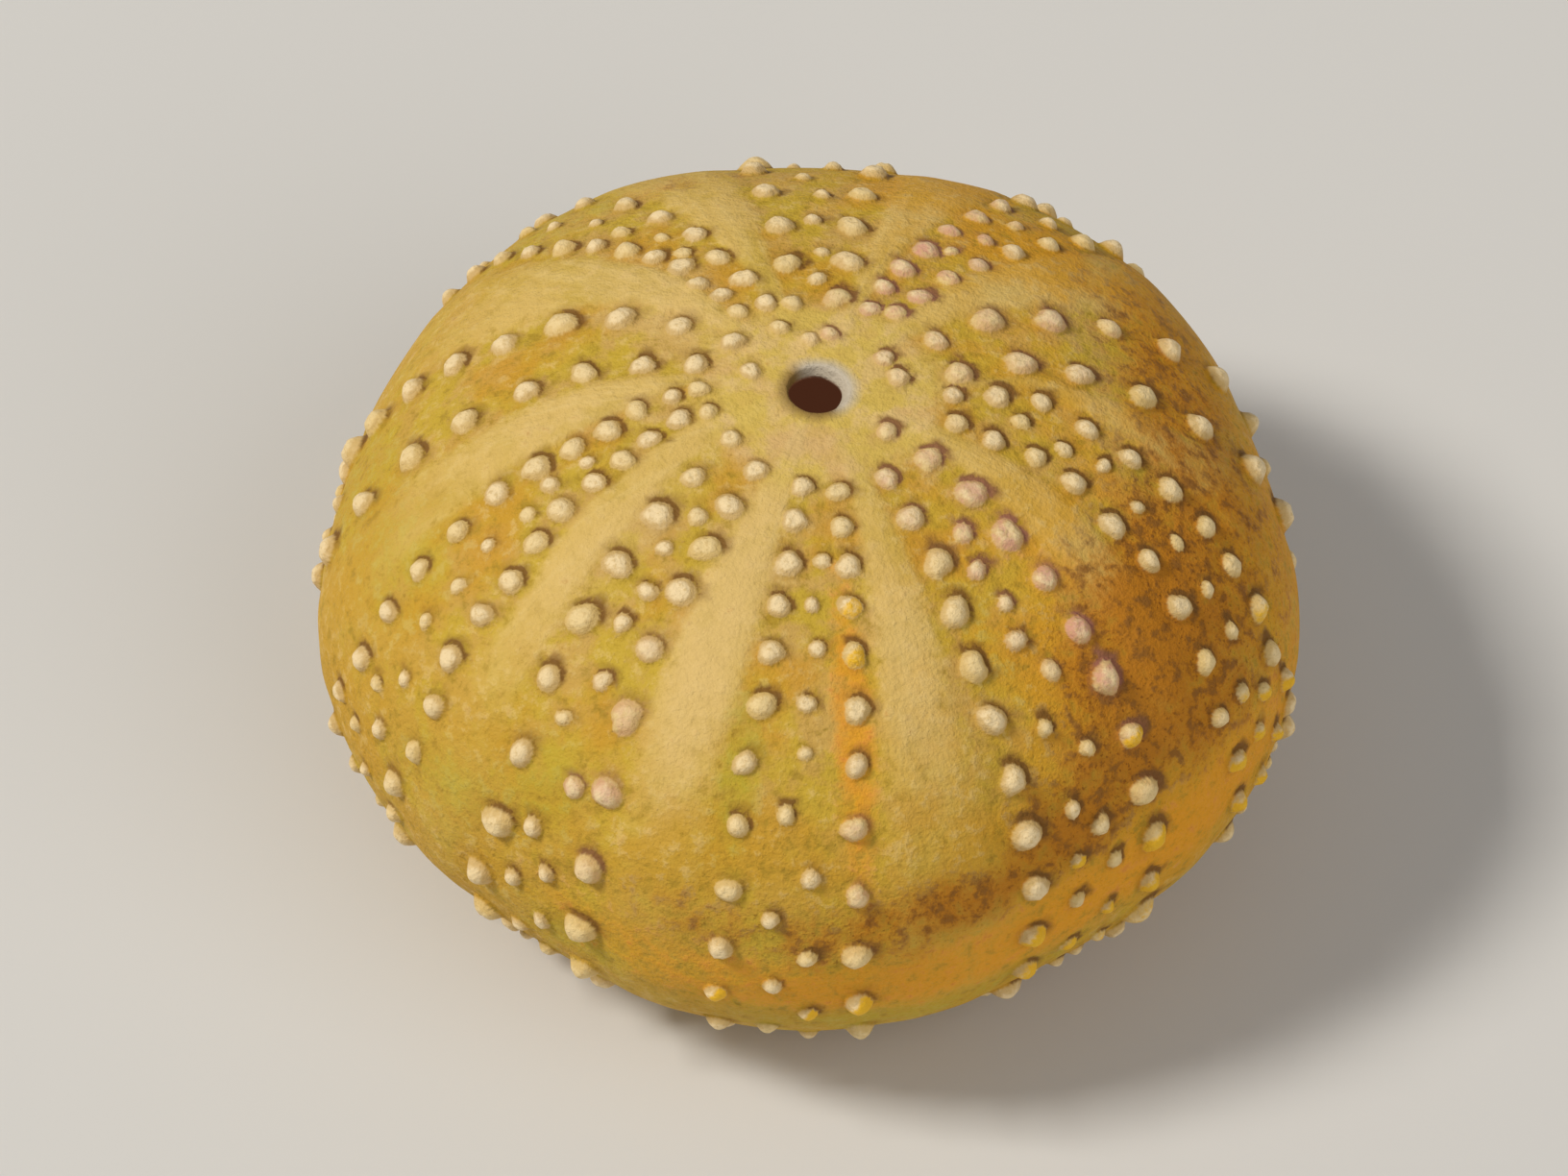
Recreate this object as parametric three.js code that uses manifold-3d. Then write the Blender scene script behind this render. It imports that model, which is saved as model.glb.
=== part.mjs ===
// The test (empty shell) of a regular sea urchin: a hollow, slightly five-sided dome grown as one piece.
// It has a small round opening at the apex, a wide mouth opening underneath and ten double rows of knobs.
// Millimetres, +Z up. The origin is the middle of the footprint, on the plane that the test rests on.
import * as THREE from 'three';
import { mergeVertices } from 'three/addons/utils/BufferGeometryUtils.js';
import Module from 'manifold-3d';

// Body. The ambitus is the widest level; crown is above it and base below.
const AMBITUS_RADIUS = 33;
const HEIGHT = 36.3;
const AMBITUS_Z = 15.2;
const CROWN_POWER = 2.2;
const BASE_POWER = 2;
const LOBE = 0.017; // share of the radius by which the five lobes stand out
const LOBE_START_RADIUS = 6;
const LOBE_FULL_RADIUS = 28;
const LOBE_AZIMUTH = 270;
const SIDE_WALL = 1.3;
const CROWN_WALL = 1.0;
const BASE_WALL = 1.6;

// Openings, and the flat ring that the test stands on.
const APEX_RIM_RADIUS = 2.1;
const APEX_THROAT_RADIUS = 1.78;
const REST_OUTER_RADIUS = 16.5;
const REST_INNER_RADIUS = 13.5;
const MOUTH_RADIUS = 11.5;
const MOUTH_EDGE_Z = 1.1;
const MOUTH_BEVEL = 0.4; // how much wider the mouth is on the inside
const MOUTH_WALL_SHARE = 0.7; // of the base's wall, at the mouth's edge

// Facets.
const TURN_STEPS = 40;
const CROWN_STEPS = 9;
const BASE_STEPS = 6;
const INNER_CROWN_STEPS = 6;
const INNER_BASE_STEPS = 4;
const CURVE_SAMPLES = 400;

// Knobs. Arcs are measured over the outside from the middle of the apex opening.
const KNOB_SIDES = 4;
const KNOB_DEPTH = 0.6;
const KNOB_HEIGHT_SHARE = 0.68; // of the knob's radius
const SHOULDER_RADIUS_SHARE = 0.62; // of the knob's radius
const SHOULDER_HEIGHT_SHARE = 0.8; // of the knob's height
const LAST_KNOB_ARC = 50;
const FULL_SIZE_ARC = 16;
const APEX_SIZE_SHARE = 0.6;
const SHRINK_START_ARC = 40;
const LAST_SIZE_SHARE = 0.75;
const KNOB_RADIUS = { ambulacrum: 0.85, interambulacrum: 1.0 };

// Each double row has the azimuth of its middle (0 = +X, 90 = +Y) and its two rows' distance from there, in
// degrees, at the five STATION_ARCS. Each of its rows has the arc of the first knob, the first spacing and
// how much the spacing grows over GROWTH_ARC.
const STATION_ARCS = [8, 14, 24, 36, 66];
const GROWTH_ARC = 30;
const WIDEST_SPACING = 5.6;
const SECTORS = [
  {
    zone: 'ambulacrum',
    middles: [273, 271.8, 270, 269, 270],
    halves: [8.6, 8.2, 7.6, 7.4, 9],
    rows: [[8.1, 2.7, 0.75], [8.5, 2.5, 0.95]],
  },
  {
    zone: 'interambulacrum',
    middles: [314, 312, 308.8, 307, 306],
    halves: [11.3, 10, 10, 8.3, 9],
    rows: [[8.6, 3.4, 0.25], [5.6, 3.6, 0.15]],
  },
  {
    zone: 'ambulacrum',
    middles: [354.5, 354.7, 344.7, 336, 342],
    halves: [7.2, 9.2, 7.4, 6.6, 9],
    rows: [[9.4, 2.6, 0.65], [9, 3, 0.05]],
  },
  {
    zone: 'interambulacrum',
    middles: [383.5, 385, 378, 374, 378],
    halves: [10.5, 7.9, 7.8, 8, 9],
    rows: [[5.6, 4.2, 0.3], [5.3, 4.2, 0.4]],
  },
  {
    zone: 'ambulacrum',
    middles: [421.6, 419.2, 415.4, 414, 414],
    halves: [5.5, 5.9, 6, 6.4, 9],
    rows: [[9, 2.4, 1.2], [8, 2.4, 1.2]],
  },
  {
    zone: 'interambulacrum',
    middles: [92, 91.5, 91.5, 91, 90],
    halves: [9.2, 9.2, 9.2, 8.6, 9],
    rows: [[5, 3.8, 1.2], [4.5, 4, 1.5]],
  },
  {
    zone: 'ambulacrum',
    middles: [123.2, 123.4, 129.8, 136, 126],
    halves: [5.4, 5.2, 7.2, 7.4, 9],
    rows: [[5.9, 2.8, 0.95], [8.9, 1.9, 0.8]],
  },
  {
    zone: 'interambulacrum',
    middles: [155.5, 160, 171.5, 178, 162],
    halves: [10.2, 9.7, 8, 7.5, 9],
    rows: [[6.9, 4.2, -0.2], [4.7, 3.7, 0.35]],
  },
  {
    zone: 'ambulacrum',
    middles: [188.3, 198, 206.6, 210.7, 198],
    halves: [6.9, 6.1, 6.9, 6.7, 9],
    rows: [[8, 1.9, 1.4], [7.5, 2, 1]],
  },
  {
    zone: 'interambulacrum',
    middles: [230.4, 232.8, 235.2, 238, 234],
    halves: [10.6, 8.2, 6.6, 6.4, 9],
    rows: [[7.2, 3.6, 0.6], [7.8, 3.2, 0.9]],
  },
];

const wasm = await Module();
wasm.setup();

// A superellipse from the axis down to the ambitus, drawn between two turns given as shares of a quarter.
function crownCurve(radius, top, steps, firstRadius) {
  const start = Math.asin((firstRadius / radius) ** (CROWN_POWER / 2));
  return Array.from({ length: steps + 1 }, (_, i) => {
    const turn = start + (Math.PI / 2 - start) * (i / steps);
    const r = radius * Math.sin(turn) ** (2 / CROWN_POWER);
    const z = AMBITUS_Z + (top - AMBITUS_Z) * Math.max(Math.cos(turn), 0) ** (2 / CROWN_POWER);
    return new THREE.Vector2(r, z);
  });
}

// The curve carries on from the ambitus and turns under, to meet the resting plane smoothly.
function baseCurve(radius, bottom, restRadius, steps) {
  return Array.from({ length: steps + 1 }, (_, i) => {
    const turn = (Math.PI / 2) * (i / steps);
    const r = restRadius + (radius - restRadius) * Math.max(Math.cos(turn), 0) ** (2 / BASE_POWER);
    const z = AMBITUS_Z - (AMBITUS_Z - bottom) * Math.sin(turn) ** (2 / BASE_POWER);
    return new THREE.Vector2(r, z);
  });
}

// Five low lobes, which fade out towards the apex.
function lobeFactor(radius, azimuth) {
  const reach = THREE.MathUtils.smoothstep(radius, LOBE_START_RADIUS, LOBE_FULL_RADIUS);
  return 1 + LOBE * reach * Math.cos(5 * (azimuth - THREE.MathUtils.degToRad(LOBE_AZIMUTH)));
}

function solidFrom(geometry) {
  geometry.deleteAttribute('normal');
  geometry.deleteAttribute('uv');
  const merged = mergeVertices(geometry, 1e-4);
  return new wasm.Manifold(
    new wasm.Mesh({
      numProp: 3,
      vertProperties: merged.attributes.position.array,
      triVerts: Uint32Array.from(merged.index.array),
    }),
  );
}

function makeBody() {
  const innerRadius = AMBITUS_RADIUS - SIDE_WALL;
  const innerTop = HEIGHT - CROWN_WALL;
  const outer = [
    ...crownCurve(AMBITUS_RADIUS, HEIGHT, CROWN_STEPS, APEX_RIM_RADIUS),
    ...baseCurve(AMBITUS_RADIUS, 0, REST_OUTER_RADIUS, BASE_STEPS).slice(1),
    new THREE.Vector2(REST_INNER_RADIUS, 0),
    new THREE.Vector2(MOUTH_RADIUS, MOUTH_EDGE_Z),
  ];
  const inner = [
    ...crownCurve(innerRadius, innerTop, INNER_CROWN_STEPS, APEX_THROAT_RADIUS),
    ...baseCurve(innerRadius, BASE_WALL, REST_OUTER_RADIUS, INNER_BASE_STEPS).slice(1),
    new THREE.Vector2(MOUTH_RADIUS + MOUTH_BEVEL, MOUTH_EDGE_Z + BASE_WALL * MOUTH_WALL_SHARE),
  ];
  // From the mouth up the outside, through the apex opening and down the inside.
  const loop = [...outer.reverse(), ...inner, outer[0].clone()];
  const geometry = new THREE.LatheGeometry(loop, TURN_STEPS).rotateX(Math.PI / 2);
  const position = geometry.attributes.position;
  for (let i = 0; i < position.count; i += 1) {
    const x = position.getX(i);
    const y = position.getY(i);
    const factor = lobeFactor(Math.hypot(x, y), Math.atan2(y, x));
    position.setXY(i, x * factor, y * factor);
  }
  return solidFrom(geometry);
}

// The outside of the body as points with their arcs from the apex, for placing knobs.
function sampleOutside() {
  const curve = [
    ...crownCurve(AMBITUS_RADIUS, HEIGHT, CURVE_SAMPLES, 1e-3),
    ...baseCurve(AMBITUS_RADIUS, 0, REST_OUTER_RADIUS, CURVE_SAMPLES).slice(1),
  ];
  let arc = 0;
  return curve.map((point, i) => {
    if (i > 0) arc += point.distanceTo(curve[i - 1]);
    return { arc, point };
  });
}

const outside = sampleOutside();

function interpolate(stations, values, at) {
  if (at <= stations[0]) return values[0];
  for (let i = 1; i < stations.length; i += 1) {
    if (at <= stations[i]) {
      const share = (at - stations[i - 1]) / (stations[i] - stations[i - 1]);
      return values[i - 1] + (values[i] - values[i - 1]) * share;
    }
  }
  return values[values.length - 1];
}

function knobSize(arc) {
  const grown = THREE.MathUtils.smoothstep(arc, 0, FULL_SIZE_ARC);
  const shrunk = THREE.MathUtils.smoothstep(arc, SHRINK_START_ARC, LAST_KNOB_ARC);
  return (APEX_SIZE_SHARE + (1 - APEX_SIZE_SHARE) * grown) * (1 - (1 - LAST_SIZE_SHARE) * shrunk);
}

// One knob: a low faceted boss standing on the wall, with its foot sunk into it.
function makeKnob(radius, arc, azimuth) {
  const index = outside.findIndex((sample) => sample.arc >= arc);
  const { point } = outside[index];
  const along = outside[index + 1].point.clone().sub(outside[index - 1].point).normalize();
  const reach = point.x * lobeFactor(point.x, azimuth);
  const normal = new THREE.Vector3(-along.y * Math.cos(azimuth), -along.y * Math.sin(azimuth), along.x);
  const height = radius * KNOB_HEIGHT_SHARE;
  const profile = [
    new THREE.Vector2(0, -KNOB_DEPTH),
    new THREE.Vector2(radius, -KNOB_DEPTH),
    new THREE.Vector2(radius * SHOULDER_RADIUS_SHARE, height * SHOULDER_HEIGHT_SHARE),
    new THREE.Vector2(0, height),
  ];
  const geometry = new THREE.LatheGeometry(profile, KNOB_SIDES);
  const turn = new THREE.Quaternion().setFromUnitVectors(new THREE.Vector3(0, 1, 0), normal);
  geometry.applyQuaternion(turn);
  geometry.translate(reach * Math.cos(azimuth), reach * Math.sin(azimuth), point.y);
  return solidFrom(geometry);
}

function makeRow(sector, side) {
  const [firstArc, pitch, growth] = sector.rows[side < 0 ? 0 : 1];
  const knobs = [];
  let arc = firstArc;
  while (arc < LAST_KNOB_ARC) {
    const middle = interpolate(STATION_ARCS, sector.middles, arc);
    const offset = side * interpolate(STATION_ARCS, sector.halves, arc);
    const azimuth = THREE.MathUtils.degToRad(middle + offset);
    knobs.push(makeKnob(KNOB_RADIUS[sector.zone] * knobSize(arc), arc, azimuth));
    const spacing = pitch * (1 + (growth * (arc - STATION_ARCS[0])) / GROWTH_ARC);
    arc += Math.min(spacing, WIDEST_SPACING);
  }
  return knobs;
}

function meshFrom(solid, name, material) {
  const { vertProperties, triVerts } = solid.getMesh();
  const geometry = new THREE.BufferGeometry();
  geometry.setAttribute('position', new THREE.BufferAttribute(vertProperties, 3));
  geometry.setIndex(new THREE.BufferAttribute(triVerts, 1));
  geometry.computeVertexNormals();
  // The footprint's middle goes on the origin.
  geometry.computeBoundingBox();
  const middle = geometry.boundingBox.getCenter(new THREE.Vector3());
  geometry.translate(-middle.x, -middle.y, 0);
  const mesh = new THREE.Mesh(geometry, material);
  mesh.name = name;
  return mesh;
}

const chalk = new THREE.MeshStandardMaterial({ color: 0xc2a45a, roughness: 0.75, metalness: 0 });

const knobs = SECTORS.flatMap((sector) => [...makeRow(sector, -1), ...makeRow(sector, 1)]);
const urchin = new THREE.Group();
urchin.add(meshFrom(wasm.Manifold.union([makeBody(), ...knobs]), 'test', chalk));

export default urchin;
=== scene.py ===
"""A sea urchin's empty test: a slightly five-sided dome with double rows of cream knobs, on a pale floor.

The whole shell is one mesh. Its outside is a cloud of points, dense around every knob and even in between,
joined up by a Delaunay triangulation and raised by a height function. Its inside is a plain grid of rings.
Masks for the knobs, the bare bands, the stains (partly painted shade), the painted reflected floor light
and so on are worked out for each vertex, and the material layers its colours with them.
"""
import math

import bpy
import numpy as np
from mathutils import Matrix, Vector
from mathutils.geometry import delaunay_2d_cdt


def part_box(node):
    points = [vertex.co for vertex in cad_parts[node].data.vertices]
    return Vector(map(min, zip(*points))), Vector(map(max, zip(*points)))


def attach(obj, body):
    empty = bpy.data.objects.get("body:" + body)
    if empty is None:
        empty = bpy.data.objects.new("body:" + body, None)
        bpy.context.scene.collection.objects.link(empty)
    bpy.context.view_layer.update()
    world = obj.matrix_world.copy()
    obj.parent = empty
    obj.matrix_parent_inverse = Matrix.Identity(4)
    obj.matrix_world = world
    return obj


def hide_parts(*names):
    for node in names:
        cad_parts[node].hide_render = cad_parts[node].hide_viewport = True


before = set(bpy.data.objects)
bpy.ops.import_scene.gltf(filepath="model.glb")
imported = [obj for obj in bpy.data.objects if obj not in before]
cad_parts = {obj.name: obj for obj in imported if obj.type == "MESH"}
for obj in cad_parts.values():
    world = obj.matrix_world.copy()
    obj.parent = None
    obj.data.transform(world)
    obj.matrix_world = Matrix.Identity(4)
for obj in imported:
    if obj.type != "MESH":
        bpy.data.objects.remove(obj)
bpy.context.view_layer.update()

MM = 0.001
rng = np.random.default_rng(7)

# ---------------------------------------------------------------- dimensions, in millimetres
NODE = "test"
AMBITUS_RADIUS = 33
HEIGHT = 36.3
AMBITUS_Z = 15.2
CROWN_POWER = 2.2
BASE_POWER = 2.0
LOBE = 0.017  # share of the radius by which the five lobes stand out
LOBE_START_RADIUS = 6
LOBE_FULL_RADIUS = 28
LOBE_AZIMUTH = 270
SIDE_WALL = 1.3
CROWN_WALL = 1.0
BASE_WALL = 1.6
APEX_RIM_RADIUS = 2.1
APEX_THROAT_RADIUS = 1.78
THROAT_SHIFT = (-0.2, 0)  # the opening's inner edge lies a little off the middle of its rim
REST_OUTER_RADIUS = 16.5
REST_INNER_RADIUS = 13.5
MOUTH_RADIUS = 11.5
MOUTH_EDGE_Z = 1.1

# The double rows. Each has the azimuth of its middle (0 = +X, 90 = +Y) and its rows' distance from there,
# in degrees, at the STATION_ARCS from the apex; for its two rows the arc of the first knob, the first
# spacing and how much the spacing grows over GROWTH_ARC; and the arc of its first small knob.
STATION_ARCS = (8, 14, 24, 36, 66)
GROWTH_ARC = 30
WIDEST_SPACING = 5.6
LAST_KNOB_ARC = 66
SECTORS = (
    dict(zone="ambulacrum", middles=(273, 271.8, 270, 269, 270), halves=(8.6, 8.2, 7.6, 7.4, 9),
         rows=((8.1, 2.7, 0.75), (8.5, 2.5, 0.95)), first_small=13.5),
    dict(zone="interambulacrum", middles=(314, 312, 308.8, 307, 306), halves=(11.3, 10, 10, 8.3, 9),
         rows=((8.6, 3.4, 0.25), (5.6, 3.6, 0.15)), first_small=14.5),
    dict(zone="ambulacrum", middles=(354.5, 354.7, 344.7, 336, 342), halves=(7.2, 9.2, 7.4, 6.6, 9),
         rows=((9.4, 2.6, 0.65), (9, 3, 0.05)), first_small=13.5),
    dict(zone="interambulacrum", middles=(383.5, 385, 378, 374, 378), halves=(10.5, 7.9, 7.8, 8, 9),
         rows=((5.6, 4.2, 0.3), (5.3, 4.2, 0.4)), first_small=40),
    dict(zone="ambulacrum", middles=(421.6, 419.2, 415.4, 414, 414), halves=(5.5, 5.9, 6, 6.4, 9),
         rows=((9, 2.4, 1.2), (8, 2.4, 1.2)), first_small=17),
    dict(zone="interambulacrum", middles=(92, 91.5, 91.5, 91, 90), halves=(9.2, 9.2, 9.2, 8.6, 9),
         rows=((5, 3.8, 1.2), (4.5, 4, 1.5)), first_small=10.5),
    dict(zone="ambulacrum", middles=(123.2, 123.4, 129.8, 136, 126), halves=(5.4, 5.2, 7.2, 7.4, 9),
         rows=((5.9, 2.8, 0.95), (8.9, 1.9, 0.8)), first_small=16),
    dict(zone="interambulacrum", middles=(155.5, 160, 171.5, 178, 162), halves=(10.2, 9.7, 8, 7.5, 9),
         rows=((6.9, 4.2, -0.2), (4.7, 3.7, 0.35)), first_small=38),
    dict(zone="ambulacrum", middles=(188.3, 198, 206.6, 210.7, 198), halves=(6.9, 6.1, 6.9, 6.7, 9),
         rows=((8, 1.9, 1.4), (7.5, 2, 1)), first_small=16),
    dict(zone="interambulacrum", middles=(230.4, 232.8, 235.2, 238, 234), halves=(10.6, 8.2, 6.6, 6.4, 9),
         rows=((7.2, 3.6, 0.6), (7.8, 3.2, 0.9)), first_small=13),
)
# Radii of the knobs, the small ones' spacing over the rows' spacing, and the arc from which the small ones
# stand two abreast.
ZONES = dict(
    ambulacrum=dict(knob=0.88, small_knob=0.63, small_step=0.97, abreast_from=33),
    interambulacrum=dict(knob=1.04, small_knob=0.70, small_step=0.74, abreast_from=24),
)
SINGLE_OFFSET = 0.1  # how far the small knobs stand off the middle, as a share of the rows' distance
ABREAST_OFFSET = 0.27
CROWDED_FROM_ARC = 33
CROWDED_STEP = 0.64  # the further shortening of the small knobs' spacing there
FULL_SIZE_ARC = 16
APEX_SIZE_SHARE = 0.62
SHRINK_START_ARC = 54
LAST_SIZE_SHARE = 0.62
KNOB_RISE = 0.62  # height over radius
FLANK_RISE_GROWTH = 0.5  # how much taller the knobs on the steep flank are
DIMPLED_SHARE = 0.5  # of the knobs, which have a small dent on top
SPOTTED_SHARE = 0.65  # of the knobs in the yellow patches, which have a yellow spot
KNOB_REACH = 2.2  # how far from its middle a knob matters, in knob radii

# ---------------------------------------------------------------- mesh density
BODY_CENTRE_Z = 15
PROFILE_STEPS = 600
RIM_POINTS = 120
FILL_SPACING = 0.64
FILL_JITTER = 0.14  # share of the spacing
FILL_CLEARANCE = 1.64  # in knob radii, round a knob
SMALL_CLEARANCE = 1.7  # the same round a small knob
# Rings of points round a knob: each one's radius in knob radii, and its number of points.
KNOB_RINGS = ((0, 1), (0.2, 6), (0.4, 9), (0.58, 12), (0.73, 14), (0.86, 16), (0.97, 18), (1.08, 18),
              (1.22, 16), (1.45, 14))
SMALL_RINGS = ((0, 1), (0.35, 6), (0.6, 8), (0.8, 10), (0.95, 12), (1.1, 12), (1.4, 10))
INNER_CROWN_RINGS = 26
INNER_BASE_RINGS = 16
THROAT_DEPTHS = (0.02, 0.08, 0.2, 0.42, 0.7)  # of the rings in the apex opening, under its rim
MOUTH_LIP = ((14.6, 1.55), (13.2, 1.75), (12.2, 1.85), (11.75, 1.75), (11.5, 1.5))  # radii and heights

# ---------------------------------------------------------------- colouring
# Soft patches: azimuth and arc of the middle, half width and half length in mm, and strength.
# Brown patches, mostly on the right side away from the key light: partly stains, partly painted shade.
BROWN_STAIN_AND_SHADE_PATCHES = (
    (306, 35, 5, 3.5, 0.8), (318, 31, 4.5, 5, 0.95), (331, 27, 6, 5.5, 0.9), (345, 27, 7, 5.5, 0.55),
    (0, 27, 8, 7, 0.35), (18, 27, 8, 6, 0.4), (36, 28, 8, 7, 0.3), (290, 37.5, 6, 2, 0.7),
    (275, 39, 7, 2.2, 0.5), (258, 38, 6, 2.2, 0.3), (330, 35, 5, 3, 0.6), (348, 36, 7, 4, 0.35),
    (112, 26, 5, 3, 0.3), (62, 29, 8, 5, 0.2),
)
# Orange along the lower edge and lower right is painted reflected light from the floor below; the narrow
# orange streaks up the rows are the shell's own colour.
ORANGE_REFLECTION_AND_STREAK_PATCHES = (
    (262, 43.5, 9, 3.2, 0.55), (285, 43.5, 9, 3.2, 0.65), (305, 42.5, 8, 3.2, 0.7), (324, 41, 8, 3.2, 0.75),
    (343, 40, 7, 3.5, 0.6), (277.3, 25, 1.3, 10, 0.75), (0, 36, 6, 4, 0.4), (321, 22, 1.5, 8, 0.3),
    (243, 41.5, 5, 2, 0.3),
)
GREEN_PATCHES = (
    (261, 28, 1.5, 6, 0.6), (236, 34, 3.5, 4, 0.5), (222, 38, 5, 3, 0.45), (180, 34, 6, 6, 0.4),
    (200, 30, 5, 5, 0.35), (97, 31, 6, 4, 0.45), (130, 30, 6, 5, 0.4), (55, 31, 5, 4, 0.55),
    (350, 45, 6, 2, 0.4), (285, 48, 14, 2.5, 0.5), (303, 22, 2, 5, 0.35), (245, 44, 6, 3, 0.5),
)
PALE_PATCHES = (
    (252, 20, 2.6, 12, 0.8), (222, 18, 2.6, 9, 0.5), (288, 20, 2.2, 12, 0.5), (142, 14, 4, 8, 0.6),
    (186, 16, 2.5, 8, 0.5),
)
PINK_PATCHES = (
    (320, 20, 3.5, 14, 1.0), (62, 15, 3, 11, 1.0), (28, 16, 4, 10, 0.5), (278, 34, 2, 5, 0.6),
    (243, 31, 2.5, 7, 0.6),
)
YELLOW_PATCHES = (
    (318, 38, 5, 7, 1.0), (300, 38, 4, 6, 1.0), (280, 18.5, 2, 2.5, 0.7), (270, 45, 12, 4, 0.9),
    (300, 45, 12, 4, 0.9), (330, 42, 8, 5, 0.9), (345, 38, 6, 6, 0.7),
)
# The side of each knob on which its dark crescent lies (a faint ring of brown pigment, mostly painted
# shade), the side of its yellow spots, and the side of the opening's rim and throat that is painted lit,
# the other side being painted shade.
KNOB_SHADE_SIDE = Vector((0.55, 0.65, 0.52)).normalized()
YELLOW_SIDE = Vector((0.7, -0.5, -0.5)).normalized()
LIT_RIM_SIDE = Vector((0.8, 0.6, 0)).normalized()


def smoothstep(low, high, value):
    share = np.clip((value - low) / (high - low), 0, 1)
    return share * share * (3 - 2 * share)


# ---------------------------------------------------------------- the shell's outline
def crown_curve(radius, top, steps, first_radius):
    """A superellipse from near the axis down to the ambitus, as radii and heights."""
    start = math.asin((first_radius / radius) ** (CROWN_POWER / 2))
    turn = np.linspace(start, math.pi / 2, steps + 1)
    r = radius * np.sin(turn) ** (2 / CROWN_POWER)
    z = AMBITUS_Z + (top - AMBITUS_Z) * np.maximum(np.cos(turn), 0) ** (2 / CROWN_POWER)
    return r, z


def base_curve(radius, bottom, rest_radius, steps):
    """From the ambitus round to the resting plane."""
    turn = np.linspace(0, math.pi / 2, steps + 1)
    r = rest_radius + (radius - rest_radius) * np.maximum(np.cos(turn), 0) ** (2 / BASE_POWER)
    z = AMBITUS_Z - (AMBITUS_Z - bottom) * np.sin(turn) ** (2 / BASE_POWER)
    return r, z


def outside_profile():
    """The outside from the apex to the mouth: arcs, radii and heights, closely spaced."""
    crown = crown_curve(AMBITUS_RADIUS, HEIGHT, PROFILE_STEPS, 1e-3)
    base = base_curve(AMBITUS_RADIUS, 0, REST_OUTER_RADIUS, PROFILE_STEPS)
    lip_turn = np.linspace(0, 1, 40)[1:]
    lip_r = REST_INNER_RADIUS + (MOUTH_RADIUS - REST_INNER_RADIUS) * lip_turn
    lip_z = MOUTH_EDGE_Z * lip_turn ** 1.6
    r = np.concatenate([crown[0], base[0][1:], [REST_INNER_RADIUS], lip_r])
    z = np.concatenate([crown[1], base[1][1:], [0], lip_z])
    arc = np.concatenate([[0], np.cumsum(np.hypot(np.diff(r), np.diff(z)))])
    return arc, r, z


ARC, PROFILE_R, PROFILE_Z = outside_profile()
MOUTH_ARC = float(ARC[-1])
AMBITUS_ARC = float(ARC[np.argmax(PROFILE_R)])
APEX_ARC = float(np.interp(APEX_RIM_RADIUS, PROFILE_R[:PROFILE_STEPS], ARC[:PROFILE_STEPS]))


def radius_at(arc):
    return np.interp(arc, ARC, PROFILE_R)


def lobe_factor(radius, azimuth):
    """Five low lobes, which fade out towards the apex."""
    reach = smoothstep(LOBE_START_RADIUS, LOBE_FULL_RADIUS, radius)
    return 1 + LOBE * reach * np.cos(5 * (azimuth - math.radians(LOBE_AZIMUTH)))


def body_points(arc, azimuth):
    """Points on the plain body, without knobs, for arcs in mm and azimuths in radians."""
    r = radius_at(arc)
    z = np.interp(arc, ARC, PROFILE_Z)
    r = r * lobe_factor(r, azimuth)
    return np.stack([r * np.cos(azimuth), r * np.sin(azimuth), z], -1)


def body_directions(arc, azimuth):
    """Unit vectors down the arc, around the axis and out of the surface."""
    arc_step, turn_step = 0.05, 0.002
    above = body_points(np.maximum(arc - arc_step, 0), azimuth)
    below = body_points(np.minimum(arc + arc_step, MOUTH_ARC), azimuth)
    down = below - above
    around = body_points(arc, azimuth + turn_step) - body_points(arc, azimuth - turn_step)
    out = np.cross(down, around)
    return [d / np.linalg.norm(d, axis=1, keepdims=True) for d in (down, around, out)]


def patch_mask(patches, arc, azimuth):
    """How strongly soft patches cover the given places, 0 to 1."""
    clear = np.ones(len(arc))
    for patch_azimuth, patch_arc, half_width, half_length, strength in patches:
        turn = (azimuth - math.radians(patch_azimuth) + math.pi) % (2 * math.pi) - math.pi
        across = turn * radius_at(arc) / half_width
        along = (arc - patch_arc) / half_length
        clear *= 1 - strength * np.exp(-0.7 * (across ** 2 + along ** 2) ** 1.5)
    return 1 - clear


# ---------------------------------------------------------------- knobs
def knob_size(arc):
    grown = smoothstep(0, FULL_SIZE_ARC, arc)
    shrunk = smoothstep(SHRINK_START_ARC, LAST_KNOB_ARC, arc)
    return (APEX_SIZE_SHARE + (1 - APEX_SIZE_SHARE) * grown) * (1 - (1 - LAST_SIZE_SHARE) * shrunk)


def spacing(row, arc):
    _, pitch, growth = row
    return min(pitch * (1 + growth * (arc - STATION_ARCS[0]) / GROWTH_ARC), WIDEST_SPACING)


def row_knobs(sector, side):
    """The knobs of the row on one side of a sector's middle."""
    radius = ZONES[sector["zone"]]["knob"]
    row = sector["rows"][0 if side < 0 else 1]
    arc = row[0]
    knobs = []
    while arc < LAST_KNOB_ARC:
        azimuth = np.interp(arc, STATION_ARCS, sector["middles"])
        azimuth += side * np.interp(arc, STATION_ARCS, sector["halves"])
        azimuth += math.degrees(rng.normal(0, 0.15) / radius_at(arc))
        place = arc + rng.normal(0, 0.12)
        knobs.append((place, azimuth, radius * knob_size(arc) * rng.uniform(0.86, 1.14), 0))
        arc += spacing(row, arc)
    return knobs


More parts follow.
